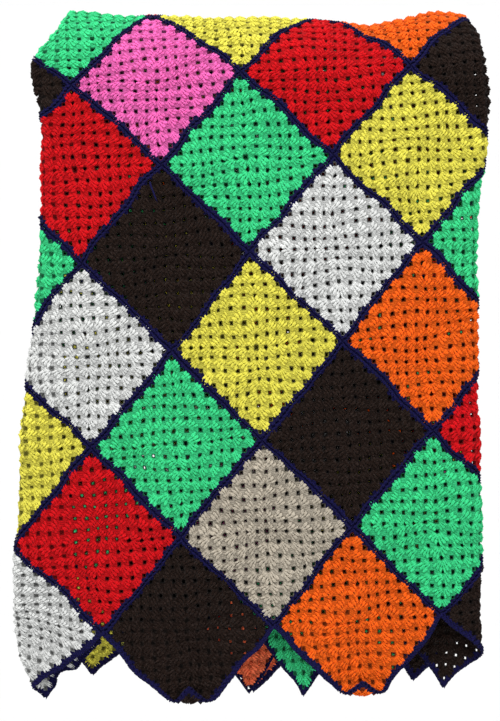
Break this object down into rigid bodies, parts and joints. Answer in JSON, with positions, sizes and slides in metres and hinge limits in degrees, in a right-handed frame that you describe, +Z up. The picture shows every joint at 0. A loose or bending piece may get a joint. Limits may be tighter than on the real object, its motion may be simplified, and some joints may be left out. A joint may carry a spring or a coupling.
{
  "type": "granny square blanket, folded and hung",
  "caption": "Crocheted blanket of bright granny squares set on point, folded lengthwise in three and hung over a broad support, with a zigzag hem.",
  "frame": {"origin": "top of the crest over which the blanket hangs, in the middle of its width", "axes": "+Z up, +X to the right across the front drop, +Y from the front drop to the back drop"},
  "size_m": [0.5616, 0.1893, 0.8303],
  "materials": {
    "wool_yarn": "matt worsted yarn; the squares are green, red, pink, yellow, orange, white, beige and dark brown, edged and joined in navy"
  },
  "bodies": {
    "root": {"blanket": "wool_yarn"}
  },
  "joints": []
}
